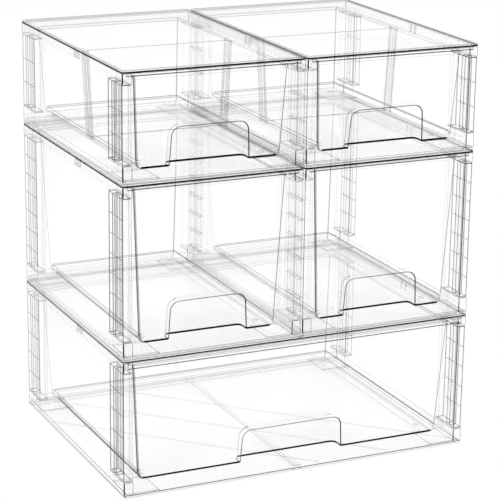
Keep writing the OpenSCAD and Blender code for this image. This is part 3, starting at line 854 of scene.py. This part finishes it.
def tub_rings(u, z, inset, ahead, widen, notch, grow):
    """Rings at heights z. inset draws in the sides and the back, ahead the front, and notch is how
    deep the recess is at that height. Four quarter rounds come first, then the notch's points: a
    lip, a leg and a quarter round to the rear wall on the left, and the same on the right."""
    half, front = side_x(u, z) - inset, front_y(u, z) + ahead
    back = u["depth"] - BACK_TOP - (BACK_LOW - BACK_TOP) * down(u, z) - inset
    r = np.maximum(CORNER_R - np.maximum(inset, ahead), DRAWER_LEAST_R)
    centres = np.stack([
        np.stack([half - r, front + r], axis=-1), np.stack([half - r, back - r], axis=-1),
        np.stack([r - half, back - r], axis=-1), np.stack([r - half, front + r], axis=-1)], axis=1)
    angle = np.radians(np.linspace(-90, 0, ARC_STEPS + 1)[None, :] + 90 * np.arange(4)[:, None])
    turn = np.stack([np.cos(angle), np.sin(angle)], axis=-1)
    arcs = (centres[:, :, None, :] + r[:, None, None, None] * turn[None]).reshape(len(z), RING_CORNERS, 2)
    cut = np.minimum(EDGE_CUT, notch)
    inner = recess_half(u, z, grow) + widen
    outer = recess_half(u, z, grow + RECESS_LIP) + widen
    rear_r = np.minimum(PULL_REAR_R + grow, notch - cut)[:, None]
    x = np.column_stack([outer, inner, inner[:, None] - rear_r * (1 - np.cos(REAR_TURNS))])
    y = np.column_stack([front, front + cut, (front + notch)[:, None] - rear_r * (1 - np.sin(REAR_TURNS))])
    left = np.stack([-x, y], axis=-1)
    right = np.stack([x, y], axis=-1)[:, ::-1]
    plan = np.concatenate([arcs, left, right], axis=1)
    return np.concatenate([plan, np.broadcast_to(z[:, None, None], (*plan.shape[:2], 1))], axis=2)


def rounding(h, r):
    """How far a lower edge of radius r draws in at height h above its lowest line."""
    return r - np.sqrt(np.maximum(r**2 - np.clip(r - h, 0, r) ** 2, 0))


print("points of a ring:", RING_CORNERS, "at its corners and", NOTCH_POINTS, "along the recess")

# %% [markdown]
# ## A drawer's lines
# The drawer shows by the lines along its foot, its corners and its recess, which are strips of
# painted shade. The foot is painted darkest in front, where the eye looks along the floor's sheet.
# The finish and painted shade of every face could be chosen by where the face lies, but the grid is
# simpler: its rows and columns are the steps up and round the drawer.

# %% The finish and painted shade of a drawer's faces
def drawer_clear_and_painted_shade(u, recess_rings, outside_rings, rings):
    """The finish of each face of a drawer, clear or an edge strip of painted shade, a row for each
    step from one ring to the next. A ring's sides are numbered from the front right corner round to the
    front left one, and then along the recess from left to right: the line on the front, the leg, the
    sides of the round rear corner, the rear wall, and the same backwards."""
    columns, quarter, middle = RING_CORNERS + NOTCH_POINTS, ARC_STEPS + 1, ARC_STEPS // 2
    around = np.arange(RING_CORNERS - 1)
    notch = np.arange(RING_CORNERS, columns - 1)
    front = [RING_CORNERS - 1, columns - 1]
    left_wall, front_left = 3 * quarter - 1, 3 * quarter
    foot, fillet, last, head = slice(0, 3), 4, rings - 2, recess_rings - 2
    kinds = np.full((rings - 1, columns), CLEAR)
    # round corners: fine lines of painted shade, and clear ones at the two front corners
    kinds[:outside_rings, middle:RING_CORNERS:quarter] = FINE
    kinds[:outside_rings, [middle - 1, front_left + middle - 1]] = EDGE
    # foot and fillet, outside and inside, in painted shade
    kinds[np.ix_([0, last], around)] = FAINT
    kinds[np.ix_([fillet, last - fillet], around)] = FINE
    kinds[0, left_wall] = EDGE if u["name"] == "wide" else FINE
    kinds[:2, front_left:front_left + quarter] = EDGE
    # recess: painted shade on its left rear corner, its head and its outline on the front
    kinds[:head + 1, notch[2]] = FINE
    kinds[head - 2, notch[2:-2]] = FINE
    kinds[:head, notch[[0, -1]]] = DARK
    kinds[head, notch] = EDGE
    # painted dark shade along the feet of the front and of the recess
    kinds[foot, front] = DARK
    kinds[0, notch] = DARK
    kinds[foot, notch[2:]] = DARK
    # fine painted shade on the bead's foot, the outer and the inner edge of the lip
    kinds[[recess_rings, outside_rings - 2, outside_rings]] = FINE
    return kinds


print("each side of a ring has a column, so a row has", RING_CORNERS + NOTCH_POINTS, "finishes")

# %% The drawer's skin
BEAD_W, BEAD_H = 0.8, 3


def drawer_skin(u):
    """The whole drawer as one skin: up the outside, over the top edge and down the inside."""
    top = drawer_top(u)
    z_out, notch_out = recess_levels(u, DRAWER_LIFT, 0)
    z_in, notch_in = [levels[::-1] for levels in recess_levels(u, DRAWER_LIFT + WALL, WALL)]
    widen_out = np.where(z_out == DRAWER_LIFT, EDGE_CUT, 0)
    widen_in = np.where(z_in == DRAWER_LIFT + WALL, EDGE_CUT, 0)
    lower_out = rounding(z_out - DRAWER_LIFT, LOWER_R)
    lower_in = rounding(z_in - DRAWER_LIFT - WALL, LOWER_R - WALL)
    bead_z = top - np.array([BEAD_H + EDGE_CUT, BEAD_H, EDGE_CUT, 0])
    bead_inset = np.array([0, -BEAD_W, -BEAD_W, EDGE_CUT - BEAD_W])
    lip_z, lip_inset = np.array([top, top - EDGE_CUT]), np.array([WALL - EDGE_CUT, WALL])
    none_out, none_in = np.zeros(len(bead_z)), np.zeros(len(lip_z))
    outside = tub_rings(
        u,
        z=np.concatenate([z_out, bead_z]),
        inset=np.concatenate([lower_out, bead_inset]),
        ahead=np.concatenate([widen_out, bead_inset]),
        widen=np.concatenate([widen_out, none_out]),
        notch=np.concatenate([notch_out, none_out]),
        grow=0,
    )
    inside = tub_rings(
        u,
        z=np.concatenate([lip_z, z_in]),
        inset=np.concatenate([lip_inset, WALL + lower_in]),
        ahead=np.concatenate([lip_inset, WALL + widen_in]),
        widen=np.concatenate([none_in, widen_in]),
        notch=np.concatenate([none_in, notch_in]),
        grow=WALL,
    )
    rings = np.concatenate([outside, inside])
    return stacked(rings, drawer_clear_and_painted_shade(u, len(z_out), len(outside), len(rings)))


wide_tub = drawer_skin(UNITS[0])
print("the wide tub has", len(wide_tub[2]), "faces,", int((wide_tub[3] == DARK).sum()), "of them dark")

# %% [markdown]
# ## Glides, guides and dividers
# A drawer slides on four low round pads. The small drawers are parted by a loose divider, a sheet
# with a flange at each end that stands between two guide ribs on the wall. These are plain prisms:
# the upright ones are drawn as the front sees them and then stood up.

# %% Glides
GLIDE_D, GLIDE_H, GLIDE_POINTS = 6, 1.2, 24


def glides(u):
    """Four low round pads under the drawer, which slide on the runners."""
    turn = np.linspace(0, 2 * np.pi, GLIDE_POINTS, endpoint=False)
    circle = GLIDE_D / 2 * np.stack([np.cos(turn), np.sin(turn)], axis=1)
    low, high = DRAWER_LIFT - GLIDE_H, DRAWER_LIFT + SINK
    front = u["front_low"] + PULL_DEPTH + WALL + GLIDE_IN
    back = u["depth"] - BACK_LOW - GLIDE_IN
    marks = np.zeros(GLIDE_POINTS, bool)
    return [prism(circle + (side * glide_x(u), y), low, high, marks, SMALL_CUT, FINE)
            for side in (-1, 1) for y in (front, back)]


print("glides under a drawer:", len(glides(UNITS[0])))

# %% Guides and dividers
DIVIDER_T, DIVIDER_FLANGE_W, DIVIDER_FLANGE_T, DIVIDER_PLAY, DIVIDER_DROP = 2, 10, 1.6, 0.35, 0.7
GUIDE_W, GUIDE_DEPTH = 2.5, 2.2


def divider_y(u):
    """Where the divider stands, midway between the drawer's front and back."""
    return (u["front_top"] + u["depth"] - BACK_TOP) / 2


def wall_strip(u, side, near, far, low, high):
    """Outline of a strip along a side wall, seen from the front, between two distances from the
    wall's outer face."""
    outline = [(side_x(u, low) - far, low), (side_x(u, low) - near, low),
               (side_x(u, high) - near, high), (side_x(u, high) - far, high)]
    return np.array(outline if side > 0 else [(-x, z) for x, z in outline[::-1]], float)


def standing(outline, thickness, y_middle, strip):
    """A plate of a given thickness whose outline is drawn as the front sees it."""
    return upright(sharp_prism(outline, -thickness / 2, thickness / 2, strip=strip), y_middle)


def guides(u):
    """Two ribs on each side wall that hold the divider's flange between them."""
    from_divider = DIVIDER_FLANGE_W / 2 + DIVIDER_PLAY + GUIDE_W / 2
    low, high = DRAWER_LIFT + WALL - SINK, drawer_top(u) - SINK
    skins = []
    for side in (-1, 1):
        outline = wall_strip(u, side, WALL - SINK, WALL + GUIDE_DEPTH, low, high)
        for y in (divider_y(u) - from_divider, divider_y(u) + from_divider):
            skins.append(standing(outline, GUIDE_W, y, FINE))
    return skins


def divider_skins(u):
    """A divider: a sheet across the drawer with a flange at each end."""
    low, high = DRAWER_LIFT + WALL + DIVIDER_PLAY, drawer_top(u) - DIVIDER_DROP
    gap = WALL + DIVIDER_PLAY
    half_low, half_high = side_x(u, low) - gap, side_x(u, high) - gap
    sheet = [(-half_low, low), (half_low, low), (half_high, high), (-half_high, high)]
    skins = [standing(sheet, DIVIDER_T, divider_y(u), FINE)]
    for side in (-1, 1):
        flange = wall_strip(u, side, gap, gap + DIVIDER_FLANGE_T, low, high)
        skins.append(standing(flange, DIVIDER_FLANGE_W, divider_y(u), FAINT))
    return skins


print("skins of a divider:", len(divider_skins(UNITS[-1])))

# %% Make the drawers
for u in UNITS:
    divided = u["name"].startswith("small")
    skins = [drawer_skin(u)] + glides(u) + (guides(u) if divided else [])
    make_piece(u, "drawer", skins, u["name"] + "_drawer", merged=True)
    if divided:
        make_piece(u, "divider", divider_skins(u), u["name"] + "_divider")
print("drawers:", len(UNITS))

# %% [markdown]
# ## Floor, world and lamps
# The stack stands on a plain white floor under soft light. The world is an even white that the camera
# and the gloss see, a little dimmer as light, and two large lamps give the walls a soft direction.

# %% Floor
FLOOR_HALF = 4
GLOW_SHARE = 0.85  # of the floor as the camera and the gloss see it


def white_floor():
    """A white floor that keeps shadows: most of it glows as seen by the camera, the rest is lit."""
    material, tree, output = new_material("floor_white")
    lit = tree.nodes.new("ShaderNodeBsdfDiffuse")
    lit.inputs["Color"].default_value = (0.95, 0.95, 0.95, 1)
    glow = tree.nodes.new("ShaderNodeEmission")
    path = tree.nodes.new("ShaderNodeLightPath").outputs
    seen = math_node(tree, "MAXIMUM", path["Is Camera Ray"], path["Is Glossy Ray"])
    share = math_node(tree, "MULTIPLY", seen, GLOW_SHARE)
    surface = mixed(tree, share, lit.outputs["BSDF"], glow.outputs["Emission"])
    tree.links.new(surface, output.inputs["Surface"])
    return material


mesh = bpy.data.meshes.new("floor")
floor_corners = [(x * FLOOR_HALF, y * FLOOR_HALF, 0) for x, y in ((-1, -1), (1, -1), (1, 1), (-1, 1))]
mesh.from_pydata(floor_corners, [], [(0, 1, 2, 3)])
mesh.materials.append(white_floor())
floor = bpy.data.objects.new("floor", mesh)
bpy.context.scene.collection.objects.link(floor)
print("the floor is", 2 * FLOOR_HALF, "m wide")

# %% World
WORLD_LIGHT = 0.86


def studio_world(light):
    """A white world: strength 1 where the camera or a reflection sees it, less as light."""
    world = bpy.data.worlds.new("studio")
    world.use_nodes = True
    tree = world.node_tree
    background = tree.nodes["Background"]
    background.inputs["Color"].default_value = (1, 1, 1, 1)
    path = tree.nodes.new("ShaderNodeLightPath").outputs
    seen = math_node(tree, "MAXIMUM", path["Is Camera Ray"], path["Is Glossy Ray"])
    seen = math_node(tree, "MAXIMUM", seen, path["Is Transmission Ray"])
    spread = tree.nodes.new("ShaderNodeMapRange")
    spread.inputs["To Min"].default_value = light
    tree.links.new(seen, spread.inputs["Value"])
    tree.links.new(spread.outputs["Result"], background.inputs["Strength"])
    bpy.context.scene.world = world


studio_world(WORLD_LIGHT)
print("world:", bpy.context.scene.world.name)

# %% Lamps
STACK_MIDDLE = (cad_low + cad_high) / 2


def soft_lamp(name, place, size, power):
    """A large square lamp that faces the middle of the stack."""
    data = bpy.data.lights.new(name, "AREA")
    data.size = size
    data.energy = power
    lamp = bpy.data.objects.new(name, data)
    bpy.context.scene.collection.objects.link(lamp)
    lamp.location = place
    lamp.rotation_euler = (Vector(place) - STACK_MIDDLE).to_track_quat("Z", "Y").to_euler()


soft_lamp("lamp_left", (-1.6, -1.2, 1.8), size=1.6, power=24)
soft_lamp("lamp_back", (1.2, 1.4, 2.0), size=1.6, power=16)

# %% Render settings
scene = bpy.context.scene
scene.view_settings.view_transform = "Standard"
# a look through the stack crosses many clear walls, so light may pass more of them than usual
scene.cycles.transparent_max_bounces = 160
scene.cycles.max_bounces = 24
scene.cycles.glossy_bounces = 24
print("clear walls that light may pass:", scene.cycles.transparent_max_bounces)

# %% Sizes of the imported model, and the end
print("cad box", [round(c, 4) for c in cad_low], [round(c, 4) for c in cad_high])
